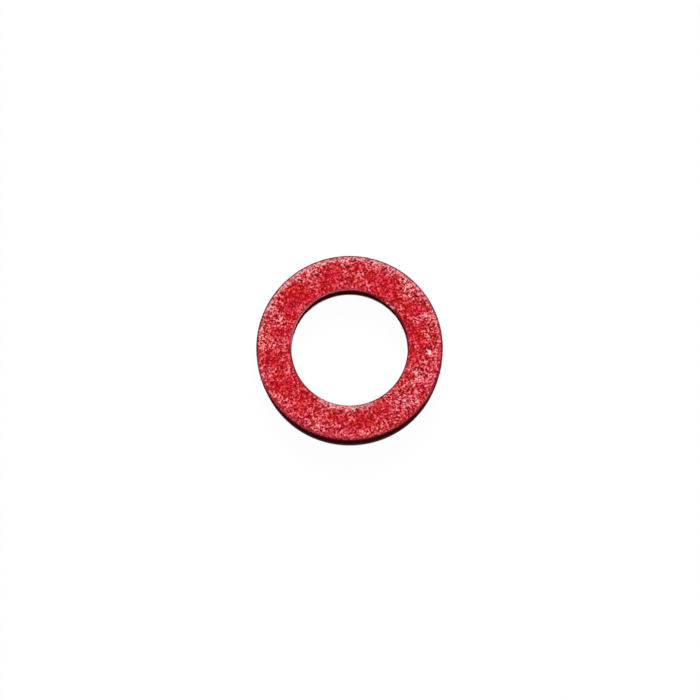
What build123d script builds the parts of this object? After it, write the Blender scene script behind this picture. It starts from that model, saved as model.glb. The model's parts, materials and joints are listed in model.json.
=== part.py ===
from build123d import *

import os

# Flat sealing washer, punched in one stroke from red vulcanised fibre sheet.
# Millimetres, +Z up along the bore. The origin is the centre of the bore on the
# lower face, which is the face that lies on the housing.

# Driving dimensions
bore_diameter = 8.1
ring_width = 2.45
thickness = 2.0

# The cutting edges pull the upper rims down before they shear the sheet.
roll_width = 0.26
roll_depth = 0.14

# Below the smooth sheared land the fibre tears away at a slight taper, so the
# lower face is a little narrower than the body of the ring.
tear_height = 0.65
tear_width = 0.04

bore_radius = bore_diameter / 2
outer_radius = bore_radius + ring_width


def rolled_rim(wall_radius, side):
    """Quarter ellipse between the upper face and a wall: side 1 is the outer wall, -1 the bore."""
    return EllipticalCenterArc(
        (wall_radius - side * roll_width, thickness - roll_depth),
        roll_width,
        roll_depth,
        start_angle=0 if side > 0 else 90,
        arc_size=90,
    )


def sheared_wall(wall_radius, side):
    """Upright land under the rolled rim, then the torn taper down to the lower face."""
    return Polyline(
        (wall_radius, thickness - roll_depth),
        (wall_radius, tear_height),
        (wall_radius - side * tear_width, 0),
    )


def ring_section():
    """Radial section of the ring, in the XZ plane."""
    with BuildSketch(Plane.XZ) as section:
        with BuildLine():
            outer_rim = rolled_rim(outer_radius, 1)
            outer_wall = sheared_wall(outer_radius, 1)
            bore_rim = rolled_rim(bore_radius, -1)
            bore_wall = sheared_wall(bore_radius, -1)
            Line(bore_rim @ 0, outer_rim @ 1)
            Line(bore_wall @ 1, outer_wall @ 1)
        make_face()
    return section.sketch


gasket = revolve(ring_section(), Axis.Z)

os.makedirs("parts", exist_ok=True)
export_step(gasket, "parts/gasket.step")
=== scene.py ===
import functools
import itertools
import json
import math

import bpy
import numpy as np
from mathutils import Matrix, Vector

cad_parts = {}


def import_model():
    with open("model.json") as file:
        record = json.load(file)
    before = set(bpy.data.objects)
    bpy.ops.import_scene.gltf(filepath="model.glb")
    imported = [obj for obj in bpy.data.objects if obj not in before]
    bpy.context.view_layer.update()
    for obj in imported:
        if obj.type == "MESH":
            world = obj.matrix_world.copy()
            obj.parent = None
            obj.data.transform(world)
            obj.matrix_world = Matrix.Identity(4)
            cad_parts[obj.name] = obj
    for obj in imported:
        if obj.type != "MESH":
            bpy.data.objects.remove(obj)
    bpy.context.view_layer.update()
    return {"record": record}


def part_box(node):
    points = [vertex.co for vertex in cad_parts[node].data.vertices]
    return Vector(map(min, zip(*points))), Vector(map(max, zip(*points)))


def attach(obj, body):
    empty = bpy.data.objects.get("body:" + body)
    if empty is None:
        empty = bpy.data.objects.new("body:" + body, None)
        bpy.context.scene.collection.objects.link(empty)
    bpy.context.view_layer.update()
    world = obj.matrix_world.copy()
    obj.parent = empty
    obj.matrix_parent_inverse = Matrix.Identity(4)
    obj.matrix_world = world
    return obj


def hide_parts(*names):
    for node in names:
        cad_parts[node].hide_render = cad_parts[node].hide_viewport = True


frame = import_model()

# All lengths are in metres. The ring lies on the floor, with its bore along +Z.
MM = 0.001
_, high_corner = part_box("gasket")
bore_mount = next(m for m in frame["record"]["mounts"] if m["name"] == "bore")
bore_radius = bore_mount["dims"]["r_mm"] * MM
outer_radius = high_corner[0]
thickness = high_corner[2]

# The section's rolled rims and torn foot, as in the CAD ring
roll_width = 0.26 * MM
roll_depth = 0.14 * MM
tear_height = 0.65 * MM
tear_width = 0.04 * MM
foot_round = 0.03 * MM

# Light from all round, where white is 1, and the lamps: name, place and size in mm, and watts
fill_light = 0.10
lamps = [
    ("key", (0, 300, 300), 180, 1.54),
    ("overhead", (0, 20, 400), 200, 0.48),
]

# The same sizes in millimetres, in which the shaders measure
bore_mm = bore_radius / MM
outer_mm = outer_radius / MM
thickness_mm = thickness / MM

# How finely the ring's skin is divided
segments = 720
top_steps = 40
roll_steps = 9
land_steps = 14
tear_steps = 12
foot_steps = 3
base_steps = 22
TOP, ROLL, LAND, TEAR, BASE = range(5)

# The first row of each stretch, from the upper face out, down, in, up the bore and back
outer_roll_row = top_steps
outer_wall_row = outer_roll_row + roll_steps
base_row = outer_wall_row + land_steps + tear_steps + foot_steps
bore_wall_row = base_row + base_steps
bore_roll_row = bore_wall_row + foot_steps + tear_steps + land_steps

# The skin's random relief. Each row is how far it moves a point, the size of its features along X, Y
# and Z, all in millimetres, and its seed.
pressed_relief = [
    (0.004, (0.11, 0.11, 0.11), 1),
    (0.005, (0.22, 0.22, 0.22), 2),
    (0.008, (1.3, 1.3, 1.3), 3),
]
sheared_relief = [
    (0.003, (0.09, 0.09, 1.6), 4),
    (0.003, (2.5, 2.5, 0.11), 5),
]
torn_relief = [
    (0.016, (0.28, 0.28, 0.07), 6),
    (0.008, (0.11, 0.11, 0.11), 1),
    (0.008, (2.5, 2.5, 0.11), 5),
]

# Where the sheared land gives way to torn fibre: from where to where round the tear's height, and how
# that border wanders, in rows as above
tear_border = (0.04 * MM, -0.06 * MM)
tear_wander = [
    (0.14, (1.1, 1.1, 9.0), 7),
    (0.08, (0.3, 0.3, 9.0), 8),
]

# The flat map: how large a metre is on each island, and where the islands lie
map_margin = 0.02
map_centre = (0.4, 0.4)
top_map_scale = 60.2
base_map_scale = 35.9
wall_map_scale = 45.0
wall_map_rows = (0.815, 0.905)

# How far down the walls the upper face's patches fade out
patch_depth = 0.16 * MM

# Patches of the upper face, in millimetres: x, y, reach, and how much paler (above 0) or deeper they
# are. The first pale patch, at the back of the outer rim, is partly a painted highlight. The bright
# flecks are the same, but small and strong: bright fibre knots, and painted highlights where they lie
# on the rims, as the three on the bore's rim and, partly, the one at the back of the outer rim.
pale_patches = [
    (-0.3, 6.1, 0.5, 1.1),
    (-2.4, 5.5, 0.6, 0.4),
    (4.3, 4.1, 0.7, 0.8),
    (5.8, 2.1, 0.5, 0.5),
    (4.8, -1.9, 0.6, 1.2),
    (3.7, -3.5, 0.7, 0.5),
    (0.1, -4.3, 0.4, 0.6),
    (-1.4, -4.3, 0.5, 0.6),
    (-2.3, -5.7, 0.5, 0.7),
    (-5.8, -1.8, 0.5, 0.4),
    (-5.0, 2.3, 0.6, 0.5),
    (-5.6, 3.1, 0.4, 0.5),
]
bright_flecks_and_glints = [
    (5.5, -0.3, 0.14, 4.0),
    (5.38, -0.12, 0.1, 3.0),
    (5.62, -0.45, 0.1, 3.0),
    (2.61, 3.12, 0.08, 5.0),
    (2.87, 2.88, 0.08, 5.0),
    (2.98, 2.77, 0.08, 5.0),
    (-0.46, 6.15, 0.15, 1.6),
    (4.63, -1.72, 0.16, 2.0),
    (4.42, 3.99, 0.16, 1.8),
    (3.59, 4.70, 0.14, 1.8),
    (-5.41, 2.87, 0.14, 1.6),
    (-4.85, 2.02, 0.14, 1.6),
    (5.47, 0.68, 0.12, 1.9),
    (5.40, 2.23, 0.12, 1.4),
    (5.05, -1.02, 0.12, 1.5),
    (4.49, 0.11, 0.10, 1.6),
    (-2.69, -5.39, 0.12, 1.5),
    (0.24, -4.35, 0.12, 1.3),
]
deep_patches = [
    (-1.2, 5.0, 0.6, -0.8),
    (-3.8, 3.5, 0.7, -0.7),
    (2.8, 4.3, 0.6, -0.9),
    (4.4, 2.6, 0.5, -0.9),
    (4.5, 1.4, 0.4, -0.7),
    (4.9, 0.5, 0.4, -0.9),
    (-5.4, -1.0, 0.4, -0.8),
    (-4.8, -2.6, 0.7, -0.6),
    (-2.6, -4.4, 0.5, -0.5),
    (1.1, -5.2, 0.6, -0.7),
    (-5.2, 1.3, 0.4, -0.6),
    (-3.5, -3.7, 0.5, -0.8),
    (-2.9, 3.4, 0.5, -0.8),
    (-4.0, 2.3, 0.4, -1.0),
    (1.7, 4.2, 0.4, -0.6),
    (2.3, -4.0, 0.4, -0.5),
]

# The upper face's lays of fibre: which way they lie in degrees, and a fibre's length and width in mm
fibre_lays = [
    (10, 0.34, 0.086),
    (47, 0.27, 0.084),
    (82, 0.38, 0.088),
    (118, 0.29, 0.084),
    (155, 0.32, 0.086),
]

# How far a lay is moved in mm for each degree it is turned, so that no two have their fibres in one
# place, and how far the fibres wave
lay_shift = (0.31, 0.17)
wave_reach = 0.4

# Loose fibres: their thickness, its share that is left at the tip, how deep in the wall they start,
# and how far they bend and wave as shares of their length
fibre_radius = 0.013 * MM
fibre_tip = 0.3
fibre_root = 0.06 * MM
fibre_bend = 0.35
fibre_wave = 0.2
fibre_steps = 8
fibre_sides = 6

# Where they stand: degrees round the ring, height in mm, wall (1 outer, -1 the bore's), length in mm,
# rise and sideways lean
fibre_places = [
    (23, 0.30, -1, 0.30, 0.5, 0.8),
    (26, 0.22, -1, 0.24, 0.2, -0.9),
    (236, 1.84, -1, 0.26, 0.5, 1.6),
    (247, 1.82, -1, 0.30, 0.3, -2.0),
    (258, 1.84, -1, 0.24, 0.6, 1.8),
    (59, 1.84, 1, 0.26, 0.4, -1.8),
    (77, 1.84, 1, 0.30, 0.5, 2.0),
    (112, 0.40, 1, 0.34, 0.6, 0.9),
    (163, 0.28, -1, 0.26, 0.4, -0.8),
    (196, 0.45, 1, 0.30, -0.2, 1.1),
    (238, 0.34, 1, 0.28, 0.5, -0.9),
    (291, 0.30, 1, 0.32, 0.3, 1.2),
    (322, 0.50, 1, 0.26, 0.7, -1.0),
    (345, 0.25, 1, 0.30, 0.4, 0.7),
]

# Where the bore's rim colours are carried further down its wall, so that the dark cut starts lower:
# painted light on the top of that wall. The place, how far from it this starts and is full, and how
# far down it goes, all in mm
painted_light_place = (2.65, 3.0)
painted_light_reach = (1.5, 0.5)
painted_light_depth = 0.4

# The thin line of painted shade inside both rims, in mm: how far in it lies, how much that changes
# from the left to the right side, and how far from its middle it starts and is full
bore_line_inset = 0.068
bore_line_shift = 0.018
outer_line_inset = 0.06
outer_line_shift = 0.035
line_edges = (0.065, 0.03)


def srgb(red, green, blue):
    """A colour given from 0 to 255, as the linear values that shaders take."""
    channels = [c / 255 for c in (red, green, blue)]
    linear = [c / 12.92 if c <= 0.04045 else ((c + 0.055) / 1.055) ** 2.4 for c in channels]
    return (*linear, 1.0)


# The upper face's colours from its darkest grain to its brightest fibre, where deep and where pale
deep_stops = [
    (0.00, srgb(162, 0, 8)),
    (0.40, srgb(202, 21, 31)),
    (0.70, srgb(232, 64, 73)),
    (1.00, srgb(255, 118, 122)),
]
pale_stops = [
    (0.00, srgb(84, 0, 6)),
    (0.25, srgb(162, 21, 32)),
    (0.50, srgb(234, 77, 86)),
    (0.75, srgb(255, 142, 146)),
    (1.00, srgb(255, 214, 213)),
]

# The rims' colours: a duller red; the rolled rims' smoother red, partly made lighter as painted light
# for the rolls' shade; the mauve of the painted shade line; the pink of the painted highlight; and the
# white of the painted glints
rim_red = srgb(192, 46, 55)
rolled_red = srgb(192, 60, 72)
shade_line_mauve = srgb(104, 28, 40)
highlight_pink = srgb(226, 147, 152)
glint_white = srgb(255, 216, 222)

# The cut walls' colours: the sheared land's two reds, its plies and the painted shade towards its foot,
# then the torn fibre's
land_reds = (srgb(138, 24, 35), srgb(184, 48, 60))
ply_red = srgb(196, 66, 76)
land_shade_red = srgb(66, 5, 12)
torn_reds = (srgb(50, 2, 7), srgb(112, 10, 20))
shred_pink = srgb(186, 80, 84)
loose_fibre_colours = (srgb(150, 34, 44), srgb(226, 150, 150))

# The floor: white as the camera sees it, with a darker paper grey painted under the contact shadow, and
# the grey that lights the ring from below
white = (1.0, 1.0, 1.0, 1.0)
contact_grey = srgb(96, 96, 96)
bounce_grey = srgb(90, 90, 90)


def lattice_noise(points, cell, seed):
    """A smooth random value from -1 to 1 at each point, with features about one cell across, in mm."""
    places = (points - points.min(axis=0)) / (np.asarray(cell) * MM)
    base = np.floor(places).astype(int)
    part = places - base
    part = part * part * (3 - 2 * part)
    values = np.random.default_rng(seed).uniform(-1, 1, base.max(axis=0) + 2)
    total = np.zeros(len(points))
    for corner in itertools.product((0, 1), repeat=3):
        weight = np.prod(np.where(corner, part, 1 - part), axis=1)
        total += weight * values[tuple((base + corner).T)]
    return total


def relief(points, rows):
    """How far each point is moved by all the rows of random relief together."""
    return sum(reach * MM * lattice_noise(points, cell, seed) for reach, cell, seed in rows)


def smooth_step(values, start, end):
    """0 up to start and 1 from end on, with a smooth rise between them."""
    share = np.clip((values - start) / (end - start), 0, 1)
    return share * share * (3 - 2 * share)


def ring_profile():
    """The section's outline as rows of radius, height and zone, out from the bore's rim and round."""
    rows = []

    def line(start, end, steps, zone):
        for share in np.linspace(0, 1, steps, endpoint=False):
            place = np.array(start) * (1 - share) + np.array(end) * share
            rows.append((*place, zone))

    def arc(centre, radii, first, last, steps, zone):
        for angle in np.radians(np.linspace(first, last, steps, endpoint=False)):
            radius = centre[0] + radii[0] * math.cos(angle)
            rows.append((radius, centre[1] + radii[1] * math.sin(angle), zone))

    shoulder = thickness - roll_depth
    roll_size = (roll_width, roll_depth)
    foot_size = (foot_round, foot_round)
    outer_foot = outer_radius - tear_width
    bore_foot = bore_radius + tear_width
    outer_roll = (outer_radius - roll_width, shoulder)
    bore_roll = (bore_radius + roll_width, shoulder)

    line((bore_roll[0], thickness), (outer_roll[0], thickness), top_steps, TOP)
    arc(outer_roll, roll_size, 90, 0, roll_steps, ROLL)
    line((outer_radius, shoulder), (outer_radius, tear_height), land_steps, LAND)
    line((outer_radius, tear_height), (outer_foot, foot_round), tear_steps, TEAR)
    arc((outer_foot - foot_round, foot_round), foot_size, 0, -90, foot_steps, TEAR)
    line((outer_foot - foot_round, 0), (bore_foot + foot_round, 0), base_steps, BASE)
    arc((bore_foot + foot_round, foot_round), foot_size, 270, 180, foot_steps, TEAR)
    line((bore_foot, foot_round), (bore_radius, tear_height), tear_steps, TEAR)
    line((bore_radius, tear_height), (bore_radius, shoulder), land_steps, LAND)
    arc(bore_roll, roll_size, 180, 90, roll_steps, ROLL)
    return np.array(rows)


def outward_normals(outline):
    """The section's outward normal at each row, as radius and height."""
    along = np.roll(outline, -1, axis=0) - np.roll(outline, 1, axis=0)
    normals = np.stack([-along[:, 1], along[:, 0]], axis=1)
    return normals / np.linalg.norm(normals, axis=1, keepdims=True)


def swept(rows, turns):
    """Each row of radius and height, turned to every angle: one point after another along the section."""
    radius = np.tile(rows[:, 0], len(turns))
    height = np.tile(rows[:, 1], len(turns))
    angle = np.repeat(turns, len(rows))
    return np.stack([radius * np.cos(angle), radius * np.sin(angle), height], axis=1)


def torn_share(points, height):
    """0 on the smooth sheared land and 1 where the fibre is torn, with a wandering border."""
    start, end = (tear_height + edge for edge in tear_border)
    return smooth_step(height + relief(points, tear_wander), start, end)


def surface_relief(points, zone, torn):
    """How far each point of the skin stands proud: pressed felt above, a smooth land, torn layers below."""
    pressed = relief(points, pressed_relief)
    walls = relief(points, sheared_relief) * (1 - torn) + relief(points, torn_relief) * torn
    flat = np.isin(zone, (TOP, BASE))
    half_pressed = 0.5 * pressed
    return np.where(flat, pressed, np.where(zone == ROLL, half_pressed, walls))


def blotches(points):
    """How much paler (above 0) or deeper red (below 0) each point is than the face around it, painted
    highlights on the rims included.
    """
    total = np.zeros(len(points))
    for x, y, reach, amount in pale_patches + bright_flecks_and_glints + deep_patches:
        away = np.hypot(points[:, 0] - x * MM, points[:, 1] - y * MM)
        total += amount * np.exp(-((away / (reach * MM)) ** 2))
    return total * np.exp(-(((thickness - points[:, 2]) / patch_depth) ** 2))


def bake_map(outline, turn, row):
    """Where each face's four corners lie on the flat map that textures can be baked to, from 0 to 1.

    The upper face and its rolls are one round island with the lower face inside it. Each wall is
    two half strips beside them.
    """
    lengths = np.linalg.norm(np.diff(np.vstack([outline, outline[:1]]), axis=0), axis=1)
    starts = np.concatenate([[0], np.cumsum(lengths)])
    along = starts[np.stack([row, row + 1, row + 1, row], axis=1)]
    turns = np.stack([turn, turn, turn + 1, turn + 1], axis=1)
    row = row[:, None]

    top_radius = outline[0, 0] + along - np.where(row >= bore_roll_row, starts[-1], 0)
    base_radius = outline[base_row, 0] - (along - starts[base_row])
    is_base = (row >= base_row) & (row < bore_wall_row)
    disc_radius = np.where(is_base, base_radius * base_map_scale, top_radius * top_map_scale)
    angle = turns * math.tau / segments
    disc = np.stack([disc_radius * np.cos(angle), disc_radius * np.sin(angle)], axis=-1) + map_centre

    half = (turn >= segments // 2)[:, None]
    share = turns / (segments / 2) - half
    strip_row = wall_map_rows[0] + half * (wall_map_rows[1] - wall_map_rows[0])
    outer_across = strip_row + (along - starts[outer_wall_row]) * wall_map_scale
    outer_along = map_margin + share * math.pi * outer_radius * wall_map_scale
    bore_across = strip_row + (along - starts[bore_wall_row]) * wall_map_scale
    bore_along = map_margin + share * math.pi * bore_radius * wall_map_scale
    outer_strip = np.stack([outer_along, outer_across], axis=-1)
    bore_strip = np.stack([bore_across, bore_along], axis=-1)

    on_outer = ((row >= outer_wall_row) & (row < base_row))[..., None]
    on_bore = ((row >= bore_wall_row) & (row < bore_roll_row))[..., None]
    return np.where(on_outer, outer_strip, np.where(on_bore, bore_strip, disc))


def ring_mesh():
    """The whole ring as one closed skin of quads, with its relief."""
    profile = ring_profile()
    outline, zone = profile[:, :2], profile[:, 2].astype(int)
    turns = np.arange(segments) * math.tau / segments
    points = swept(outline, turns)
    zones = np.tile(zone, segments)
    heights = np.tile(outline[:, 1], segments)
    normals = swept(outward_normals(outline), turns)
    shift = blotches(points)
    torn = torn_share(points, heights)
    points += normals * surface_relief(points, zones, torn)[:, None]
    points[:, 2] = np.maximum(points[:, 2], 0)

    rows = len(profile)
    row = np.tile(np.arange(rows), segments)
    turn = np.repeat(np.arange(segments), rows)
    next_row = (row + 1) % rows
    next_turn = (turn + 1) % segments
    corners = [turn * rows + row, turn * rows + next_row, next_turn * rows + next_row, next_turn * rows + row]
    quads = np.stack(corners, axis=1)
    mesh = bpy.data.meshes.new("fibre_washer")
    mesh.from_pydata(points.tolist(), [], quads.tolist())
    is_cut = np.isin(zones, (LAND, TEAR))
    mesh.polygons.foreach_set("material_index", is_cut.astype(int))
    mesh.attributes.new("blotch", "FLOAT", "POINT").data.foreach_set("value", shift)
    mesh.attributes.new("torn", "FLOAT", "POINT").data.foreach_set("value", torn)
    mesh.uv_layers.new(name="OFBake").data.foreach_set("uv", bake_map(outline, turn, row).ravel())
    mesh.shade_smooth()
    return mesh


class Shader:
    """The nodes of one material, or of the world."""

    def __init__(self, owner):
        self.owner = owner
        owner.use_nodes = True
        self.tree = owner.node_tree
        self.tree.nodes.clear()

    def add(self, kind, inputs=None, **settings):
        """A new node's outputs. Its inputs are values or other nodes' outputs, by name or number."""
        made = self.tree.nodes.new(kind)
        for key, value in settings.items():
            setattr(made, key, value)
        for key, value in (inputs or {}).items():
            if isinstance(value, bpy.types.NodeSocket):
                self.tree.links.new(value, made.inputs[key])
            else:
                made.inputs[key].default_value = value
        return made.outputs

    def math(self, operation, *values):
        inputs = dict(enumerate(values))
        return self.add("ShaderNodeMath", inputs, operation=operation)[0]

    def total(self, *values):
        return functools.reduce(lambda first, second: self.math("ADD", first, second), values)

    def product(self, *values):
        return functools.reduce(lambda first, second: self.math("MULTIPLY", first, second), values)

    def highest(self, *values):
        return functools.reduce(lambda first, second: self.math("MAXIMUM", first, second), values)

    def vector(self, operation, *values):
        inputs = dict(enumerate(values))
        return self.add("ShaderNodeVectorMath", inputs, operation=operation)["Vector"]

    def length(self, place):
        return self.add("ShaderNodeVectorMath", {0: place}, operation="LENGTH")["Value"]

    def towards(self, place, angle):
        """1 in one level direction from the middle, in degrees from +X, 0 square to it and -1 behind."""
        turn = math.radians(angle)
        level = self.vector("NORMALIZE", self.vector("MULTIPLY", place, (1, 1, 0)))
        direction = (math.cos(turn), math.sin(turn), 0.0)
        return self.add("ShaderNodeVectorMath", {0: level, 1: direction}, operation="DOT_PRODUCT")["Value"]

    def stretch(self, value, low, high, to_low=0.0, to_high=1.0):
        """value from low to high becomes to_low to to_high, and stays there beyond them."""
        inputs = {"Value": value, "From Min": low, "From Max": high, "To Min": to_low, "To Max": to_high}
        return self.add("ShaderNodeMapRange", inputs, interpolation_type="SMOOTHSTEP")[0]

    def noise(self, place, scale, detail=2.0, roughness=0.5):
        inputs = {"Vector": place, "Scale": scale, "Detail": detail, "Roughness": roughness}
        return self.add("ShaderNodeTexNoise", inputs)["Fac"]

    def mix(self, share, first, second):
        """The first colour where the share is 0, and the second where it is 1."""
        return self.add("ShaderNodeMix", {0: share, 6: first, 7: second}, data_type="RGBA")[2]

    def colours(self, value, stops):
        """The colour at that value between the stops."""
        made = self.tree.nodes.new("ShaderNodeValToRGB")
        self.tree.links.new(value, made.inputs[0])
        elements = made.color_ramp.elements
        for _ in stops[2:]:
            elements.new(0.5)
        for element, (place, colour) in zip(elements, stops):
            element.position = place
            element.color = colour
        return made.outputs[0]

    def seen(self):
        """1 for what the camera sees, straight or in a reflection, and 0 for what lights the ring."""
        rays = self.add("ShaderNodeLightPath")
        return self.highest(rays["Is Camera Ray"], rays["Is Glossy Ray"], rays["Is Transmission Ray"])


class FibreShader(Shader):
    """Red vulcanised fibre, with what its colours depend on. Places and sizes are in millimetres."""

    def __init__(self, owner):
        super().__init__(owner)
        object_place = self.add("ShaderNodeTexCoord")["Object"]
        self.place = self.vector("MULTIPLY", object_place, (1 / MM,) * 3)
        self.z = self.add("ShaderNodeSeparateXYZ", {0: self.place})["Z"]
        self.radius = self.length(self.vector("MULTIPLY", self.place, (1, 1, 0)))
        self.blotch = self.add("ShaderNodeAttribute", attribute_name="blotch")["Fac"]
        self.torn = self.add("ShaderNodeAttribute", attribute_name="torn")["Fac"]
        self.grain = self.noise(self.place, scale=7.2, detail=1.5, roughness=0.55)

    def jitter(self, reach):
        """A small change of a place or a height, up to reach either way, that follows the grain."""
        return self.stretch(self.grain, 0.3, 0.7, -reach, reach)

    def fibre_lay(self, place, turn, length, width):
        """Fibres that all lie nearly one way: 1 along a fibre's middle, 0 beside it."""
        moved = self.vector("ADD", place, (turn * lay_shift[0], turn * lay_shift[1], 0.0))
        turned_inputs = {"Vector": moved, "Angle": math.radians(turn)}
        turned = self.add("ShaderNodeVectorRotate", turned_inputs, rotation_type="Z_AXIS")[0]
        squeezed = self.vector("MULTIPLY", turned, (1 / length, 1 / width, 0.0))
        cell_inputs = {"Vector": squeezed, "Scale": 1.0}
        cell = self.add("ShaderNodeTexVoronoi", cell_inputs, voronoi_dimensions="2D")
        chance = self.add("ShaderNodeSeparateColor", {0: cell["Color"]})[0]
        body = self.stretch(cell["Distance"], 0.52, 0.22)
        brightness = self.stretch(chance, 0.45, 0.9)
        return self.product(body, brightness)

    def fibres(self):
        """The face's felt: every lay of fibres together, over gently stirred places so that they wave."""
        stir = self.add("ShaderNodeTexNoise", {"Vector": self.place, "Scale": 2.6, "Detail": 1.0})["Color"]
        centred = self.vector("SUBTRACT", stir, (0.5, 0.5, 0.5))
        wave = self.vector("MULTIPLY", centred, (wave_reach, wave_reach, 0.0))
        stirred = self.vector("ADD", self.place, wave)
        return self.highest(*(self.fibre_lay(stirred, *lay) for lay in fibre_lays))

    def face(self):
        """Pale fibres pressed into a deep red body: the colour, and the tone that the bump follows."""
        mottle = self.noise(self.place, scale=1.2, detail=3.0, roughness=0.6)
        mottle_change = self.stretch(mottle, 0.3, 0.7, -0.4, 0.4)
        outward_change = self.stretch(self.radius, outer_mm - 1.3, outer_mm - 0.1, -0.1, 0.25)
        # The rims' painted highlights make the face paler next to them.
        highlight_strip = self.highest(self.outer_strip(), self.bore_strip())
        change = self.total(mottle_change, outward_change, self.blotch, highlight_strip)
        paleness = self.stretch(change, -0.82, 1.1)

        body_tone = 0.27
        grain_tone = 2.7
        highlight_tone = 0.1
        fibres = self.fibres()
        rough_grain = self.product(self.math("SUBTRACT", self.grain, 0.5), grain_tone)
        pale_fibres = self.product(fibres, self.stretch(paleness, 0.0, 1.0, 0.2, 0.44))
        spark_share = self.stretch(self.blotch, 1.0, 3.2, 0.0, 0.6)
        sparks = self.product(spark_share, self.stretch(fibres, 0.1, 0.6, 0.4, 1.0))
        pale_highlight = self.product(highlight_strip, highlight_tone)
        tone = self.total(body_tone, rough_grain, pale_fibres, sparks, pale_highlight)
        colour = self.mix(paleness, self.colours(tone, deep_stops), self.colours(tone, pale_stops))
        return colour, tone

    def flat_share(self):
        """1 on the flat of the upper face, falling to 0 at both rims."""
        past_bore = self.stretch(self.radius, bore_mm + 0.05, bore_mm + 0.40)
        before_outside = self.stretch(self.radius, outer_mm - 0.05, outer_mm - 0.45)
        return self.product(past_bore, before_outside)

    def insets(self):
        """How far inside each rim, the bore's and the outer one, and roughened by the grain."""
        rough = self.jitter(0.015)
        from_bore = self.total(self.radius, rough, -bore_mm)
        from_outside = self.total(self.math("SUBTRACT", outer_mm, self.radius), rough)
        return from_bore, from_outside

    def edge_height(self):
        """The height that the rims' colours follow, raised where they are carried down as painted light, and
        that share.
        """
        from_painted_light = self.length(self.vector("SUBTRACT", self.place, (*painted_light_place, thickness_mm)))
        drawn = self.stretch(from_painted_light, *painted_light_reach)
        height = self.total(self.z, self.jitter(0.012), self.product(drawn, painted_light_depth))
        return height, drawn

    def side(self, angle, low, high):
        """1 on the ring's side at that angle, falling to 0 away from it: both limits are cosines."""
        return self.stretch(self.towards(self.place, angle), low, high)

    def outer_strip(self):
        """1 where the outer rim is paler behind: a painted highlight on the side that faces the key lamp."""
        inner_edge = self.stretch(self.radius, outer_mm - 0.42, outer_mm - 0.22)
        outer_edge = self.stretch(self.radius, outer_mm - 0.05, outer_mm - 0.12)
        behind = self.side(90, -0.1, 0.8)
        return self.product(inner_edge, outer_edge, behind)

    def bore_strip(self):
        """1 where the bore's rim is paler in front: a painted highlight where that rim faces the key lamp."""
        inner_edge = self.stretch(self.radius, bore_mm + 0.04, bore_mm + 0.08)
        outer_edge = self.stretch(self.radius, bore_mm + 0.5, bore_mm + 0.2)
        in_front = self.side(267, 0.84, 0.93)
        return self.product(inner_edge, outer_edge, in_front)

    def painted_highlight(self):
        """Pale pink painted highlight on the rims: both strips, and a thin fringe behind the bore."""
        from_bore, _ = self.insets()
        towards_bore = self.stretch(from_bore, 0.26, 0.14, 0.3, 0.85)
        bore_highlight = self.product(self.bore_strip(), towards_bore)
        outer_highlight = self.product(self.outer_strip(), 0.45)
        patchy = self.stretch(self.grain, 0.3, 0.6, 0.1, 0.9)
        strips = self.product(self.highest(bore_highlight, outer_highlight), patchy)
        at_bore = self.stretch(from_bore, 0.09, 0.05)
        behind = self.side(130, 0.4, 0.9)
        return self.highest(strips, self.product(at_bore, behind))

    def line(self, inset):
        """1 on the line where the inset is 0, and 0 a little way off it."""
        return self.stretch(self.math("ABSOLUTE", inset), *line_edges)

    def shade_line(self):
        """The thin broken mauve line of painted shade just inside both rims, lost in front and behind the
        bore.
        """
        from_bore, from_outside = self.insets()
        right = self.towards(self.place, 0)
        bore_shift = self.product(right, bore_line_shift)
        bore_line = self.line(self.total(from_bore, bore_shift, -bore_line_inset))
        off_front = self.side(255, 0.985, 0.93)
        off_back = self.side(105, 0.6, 0.3)
        bore_part = self.product(bore_line, off_front, off_back)

        outer_shift = self.stretch(right, 0.0, 1.0, 0.0, -outer_line_shift)
        outer_line = self.line(self.total(from_outside, outer_shift, -outer_line_inset))
        outer_part = self.product(outer_line, self.side(262, 0.45, 0.2))

        gaps = self.noise(self.place, scale=1.6, detail=2.0, roughness=0.6)
        broken = self.stretch(gaps, 0.35, 0.5, 0.5, 0.95)
        return self.product(self.highest(bore_part, outer_part), broken)

    def rims(self, face):
        """The face's colour, evener and duller towards the rolled rims."""
        off_flat = self.stretch(self.flat_share(), 0.0, 1.0, 0.2, 0.0)
        even = self.mix(off_flat, face, rim_red)
        hue_noise = self.noise(self.place, scale=0.9, detail=2.0, roughness=0.6)
        hue = self.stretch(hue_noise, 0.35, 0.65, 0.4962, 0.5023)
        tinted = self.add("ShaderNodeHueSaturation", {"Hue": hue, "Color": even})[0]
        height, _ = self.edge_height()
        # The rolled rims' smoother red, partly made lighter as painted light for the rolls' shade.
        rolled_share = self.stretch(height, thickness_mm - 0.01, thickness_mm - 0.05, 0.0, 0.6)
        rolled = self.mix(rolled_share, tinted, rolled_red)
        # Painted shade: a thin mauve line inside the rims.
        shade_lined = self.mix(self.shade_line(), rolled, shade_line_mauve)
        # Painted highlight: pale pink on the rims.
        painted_highlight = self.mix(self.painted_highlight(), shade_lined, highlight_pink)
        # Painted highlights: the bright flecks that lie on the rims show white.
        bright = self.stretch(self.blotch, 1.2, 2.6)
        rim_glints = self.highest(self.math("SUBTRACT", bright, self.flat_share()), 0.0)
        return self.mix(rim_glints, painted_highlight, glint_white)

    def cut_share(self):
        """1 on the cut walls, from the rims' edge down to just above the floor."""
        from_bore, from_outside = self.insets()
        height, drawn = self.edge_height()
        edge = self.stretch(self.math("MINIMUM", from_bore, from_outside), 0.02, -0.02)
        below_roll = self.stretch(height, thickness_mm - 0.11, thickness_mm - 0.14)
        # Painted light: the dark cut gives way where the rim's colours are carried down.
        walls = self.highest(self.math("SUBTRACT", edge, drawn), below_roll)
        above_floor = self.stretch(self.z, 0.0, 0.02)
        return self.product(walls, above_floor)

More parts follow.
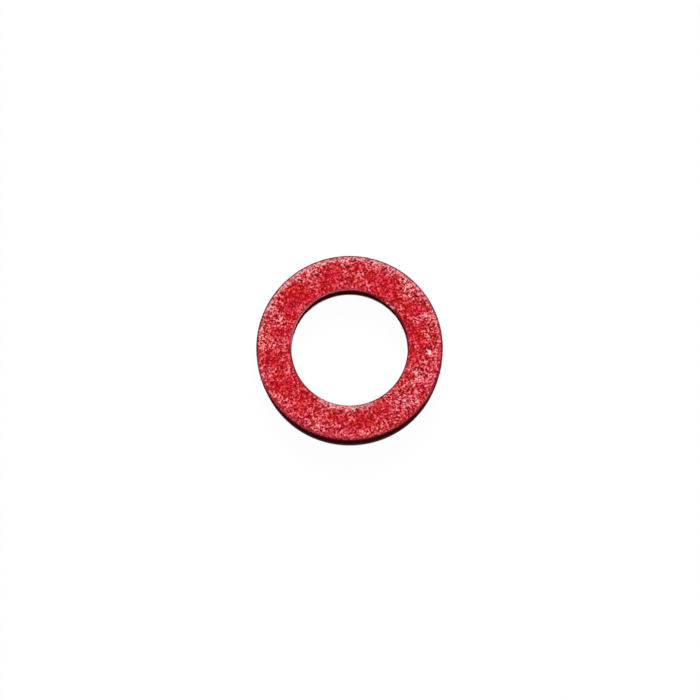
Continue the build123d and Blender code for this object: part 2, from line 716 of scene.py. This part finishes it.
    def cut(self):
        """The walls' dark red: upright streaks and painted shade low down on the sheared land, pale fibre
        ends where torn.
        """
        upright = self.vector("MULTIPLY", self.place, (1.0, 1.0, 0.07))
        level = self.vector("MULTIPLY", self.place, (0.25, 0.25, 1.0))
        flattened = self.vector("MULTIPLY", self.place, (1.0, 1.0, 2.6))
        streaks = self.noise(upright, scale=8.0, detail=2.0, roughness=0.6)
        plies = self.noise(level, scale=9.0, detail=2.0, roughness=0.6)
        shreds = self.noise(flattened, scale=6.5, detail=2.0, roughness=0.6)

        streaked = self.mix(self.stretch(streaks, 0.3, 0.7), *land_reds)
        layered = self.mix(self.stretch(plies, 0.52, 0.7, 0.0, 0.5), streaked, ply_red)
        # Painted shade: the land grows darker down towards the floor.
        land = self.mix(self.stretch(self.z, 1.9, 0.9, 0.0, 0.8), layered, land_shade_red)
        ragged = self.mix(self.stretch(self.grain, 0.35, 0.65), *torn_reds)
        shredded = self.mix(self.stretch(shreds, 0.53, 0.66, 0.0, 0.85), ragged, shred_pink)
        return self.mix(self.torn, land, shredded)


def fibre_material(name, shine):
    """The ring's skin: the pale felted face, its smoother rims and the dark cut walls."""
    shader = FibreShader(bpy.data.materials.new(name))
    face, tone = shader.face()
    cut_share = shader.cut_share()
    colour = shader.mix(cut_share, shader.rims(face), shader.cut())
    roughness = shader.highest(shader.stretch(shader.flat_share(), 0.0, 1.0, 0.5, 0.7), cut_share)
    bump_inputs = {"Height": tone, "Strength": 0.7, "Distance": 0.012 * MM}
    bump = shader.add("ShaderNodeBump", bump_inputs)[0]
    body_inputs = {
        "Base Color": colour,
        "Roughness": roughness,
        "Normal": bump,
        "Specular IOR Level": shine,
    }
    body = shader.add("ShaderNodeBsdfPrincipled", body_inputs)[0]
    shader.add("ShaderNodeOutputMaterial", {"Surface": body})
    return shader.owner


def washer():
    """The ring that stands for the CAD node."""
    mesh = ring_mesh()
    mesh.materials.append(fibre_material("fibre_face", shine=0.05))
    mesh.materials.append(fibre_material("fibre_cut", shine=0.02))
    ring = bpy.data.objects.new("fibre_washer", mesh)
    bpy.context.collection.objects.link(ring)
    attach(ring, "root")
    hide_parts("gasket")


def loose_fibre(angle, height, side, length, lift, sweep):
    """The middle line of one fibre that stands off a wall: side 1 is the outer wall, -1 the bore."""
    turn = math.radians(angle)
    outward = side * np.array([math.cos(turn), math.sin(turn), 0.0])
    along = np.array([-math.sin(turn), math.cos(turn), 0.0])
    wall_radius = outer_radius if side > 0 else bore_radius
    root = np.array([wall_radius * math.cos(turn), wall_radius * math.sin(turn), height * MM])
    root = root - outward * fibre_root
    shares = np.linspace(0, 1, fibre_steps + 1)[:, None]
    straight = outward + along * sweep + np.array([0, 0, lift])
    straight = straight / np.linalg.norm(straight)
    bend = fibre_bend * np.sin(shares * math.pi) * along
    wave = fibre_wave * np.sin(shares * math.tau) * np.array([0, 0, 1.0])
    return root + (shares * straight + (bend + wave) * math.copysign(1, sweep)) * length * MM


def fibre_tube(line):
    """Points and faces of a thin round tube along the line, drawn to a point at its end."""
    nearly_up = (0.3, 0.2, 1.0)
    along = np.gradient(line, axis=0)
    along /= np.linalg.norm(along, axis=1, keepdims=True)
    across = np.cross(along, nearly_up)
    across /= np.linalg.norm(across, axis=1, keepdims=True)
    over = np.cross(along, across)
    radii = fibre_radius * np.linspace(1, fibre_tip, len(line))[:, None, None]
    turns = np.arange(fibre_sides) * math.tau / fibre_sides
    rings = np.cos(turns)[None, :, None] * across[:, None] + np.sin(turns)[None, :, None] * over[:, None]
    points = (line[:, None] + radii * rings).reshape(-1, 3)
    faces = [tuple(reversed(range(fibre_sides))), tuple(range(len(points) - fibre_sides, len(points)))]
    for step in range(len(line) - 1):
        for edge in range(fibre_sides):
            first = step * fibre_sides + edge
            second = step * fibre_sides + (edge + 1) % fibre_sides
            faces.append((first, second, second + fibre_sides, first + fibre_sides))
    return points, faces


def stray_fibres():
    """A few torn fibres that stand off the walls and the rims."""
    shader = Shader(bpy.data.materials.new("loose_fibre"))
    place = shader.vector("MULTIPLY", shader.add("ShaderNodeTexCoord")["Object"], (1 / MM,) * 3)
    share = shader.stretch(shader.noise(place, scale=6.0), 0.35, 0.65)
    colour = shader.mix(share, *loose_fibre_colours)
    body = shader.add("ShaderNodeBsdfPrincipled", {"Base Color": colour, "Roughness": 0.9})[0]
    shader.add("ShaderNodeOutputMaterial", {"Surface": body})

    points, faces = [], []
    for row in fibre_places:
        tube_points, tube_faces = fibre_tube(loose_fibre(*row))
        faces += [tuple(corner + len(points) for corner in face) for face in tube_faces]
        points += tube_points.tolist()
    mesh = bpy.data.meshes.new("loose_fibres")
    mesh.from_pydata(points, [], faces)
    mesh.materials.append(shader.owner)
    mesh.shade_smooth()
    made = bpy.data.objects.new("loose_fibres", mesh)
    bpy.context.collection.objects.link(made)
    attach(made, "root")


def contact_share(shader, place):
    """1 on the painted contact shadow, a thin dark line where the ring touches the floor: in front outside,
    and behind in the bore.
    """
    away = shader.length(place)
    outer_foot = outer_radius - tear_width
    bore_foot = bore_radius + tear_width
    under_ring = 0.1 * MM

    reach = shader.stretch(shader.towards(place, 272), 0.25, 1.05, -0.02 * MM, 0.12 * MM)
    past_foot = shader.total(away, -outer_foot, shader.product(reach, -1.0))
    soft_edge = shader.stretch(past_foot, 0.06 * MM, -0.01 * MM)
    outside = shader.math("GREATER_THAN", away, outer_foot - under_ring)

    bore_edge = shader.stretch(away, bore_foot - 0.08 * MM, bore_foot - 0.02 * MM, 0.0, 0.95)
    behind = shader.stretch(shader.towards(place, 90), 0.5, 1.0)
    inside = shader.math("LESS_THAN", away, bore_foot + under_ring)
    return shader.highest(shader.product(soft_edge, outside), shader.product(bore_edge, behind, inside))


def white_floor_material():
    """White to the camera, but for a faint wide shadow and the contact shadow at the ring's foot."""
    shader = Shader(bpy.data.materials.new("floor_white"))
    place = shader.add("ShaderNodeTexCoord")["Object"]
    wide_shadow = shader.stretch(shader.length(place), 12 * MM, 40 * MM, 0.03, 0.0)
    contact = contact_share(shader, place)

    bare = shader.add("ShaderNodeEmission", {"Color": white, "Strength": 1.0})[0]
    # Painted shadow: the paper turns darker grey on the contact line.
    paper_colour = shader.mix(contact, white, contact_grey)
    paper = shader.add("ShaderNodeBsdfDiffuse", {"Color": paper_colour})[0]
    keep = shader.highest(wide_shadow, contact)
    shown = shader.add("ShaderNodeMixShader", {0: keep, 1: bare, 2: paper})[0]
    bounce = shader.add("ShaderNodeBsdfDiffuse", {"Color": bounce_grey})[0]
    surface = shader.add("ShaderNodeMixShader", {0: shader.seen(), 1: bounce, 2: shown})[0]
    shader.add("ShaderNodeOutputMaterial", {"Surface": surface})
    return shader.owner


def floor():
    """A plain white floor that keeps a faint shadow of the ring and fades into the white behind it."""
    half = 500 * MM
    corners = [(-half, -half, 0), (half, -half, 0), (half, half, 0), (-half, half, 0)]
    mesh = bpy.data.meshes.new("floor")
    mesh.from_pydata(corners, [], [(0, 1, 2, 3)])
    mesh.materials.append(white_floor_material())
    plane = bpy.data.objects.new("floor", mesh)
    bpy.context.collection.objects.link(plane)


def world():
    """Soft light from all round, and plain white where the camera or a reflection looks past the floor."""
    sky = bpy.data.worlds.new("studio")
    bpy.context.scene.world = sky
    shader = Shader(sky)
    strength = shader.stretch(shader.seen(), 0.0, 1.0, fill_light, 1.0)
    background = shader.add("ShaderNodeBackground", {"Color": white, "Strength": strength})[0]
    shader.add("ShaderNodeOutputWorld", {"Surface": background})


def lamp(name, place, size, energy):
    """A square soft lamp that faces the ring, with its place and size in millimetres."""
    light = bpy.data.lights.new(name, "AREA")
    light.shape = "SQUARE"
    light.size = size * MM
    light.energy = energy
    made = bpy.data.objects.new(name, light)
    bpy.context.collection.objects.link(made)
    made.location = [value * MM for value in place]
    made.rotation_euler = (-made.location).to_track_quat("-Z", "Y").to_euler()
    made.visible_camera = False


def camera():
    """A long lens looking down on the ring from the front, as in the photograph."""
    elevation = math.radians(81.2)
    distance = 500 * MM
    view_width = 48.83 * MM
    aim_x, aim_y = 0.03 * MM, -0.01 * MM
    data = bpy.data.cameras.new("camera")
    data.sensor_width = 36
    data.lens = data.sensor_width * distance / view_width
    data.clip_start = 10 * MM
    data.clip_end = 2000 * MM
    made = bpy.data.objects.new("camera", data)
    bpy.context.collection.objects.link(made)
    back, up = distance * math.cos(elevation), distance * math.sin(elevation)
    made.location = (aim_x, aim_y - back, thickness / 2 + up)
    made.rotation_euler = (math.pi / 2 - elevation, 0, 0)
    bpy.context.scene.camera = made


washer()
stray_fibres()
floor()
world()
for row in lamps:
    lamp(*row)
camera()
bpy.context.scene.view_settings.view_transform = "Standard"
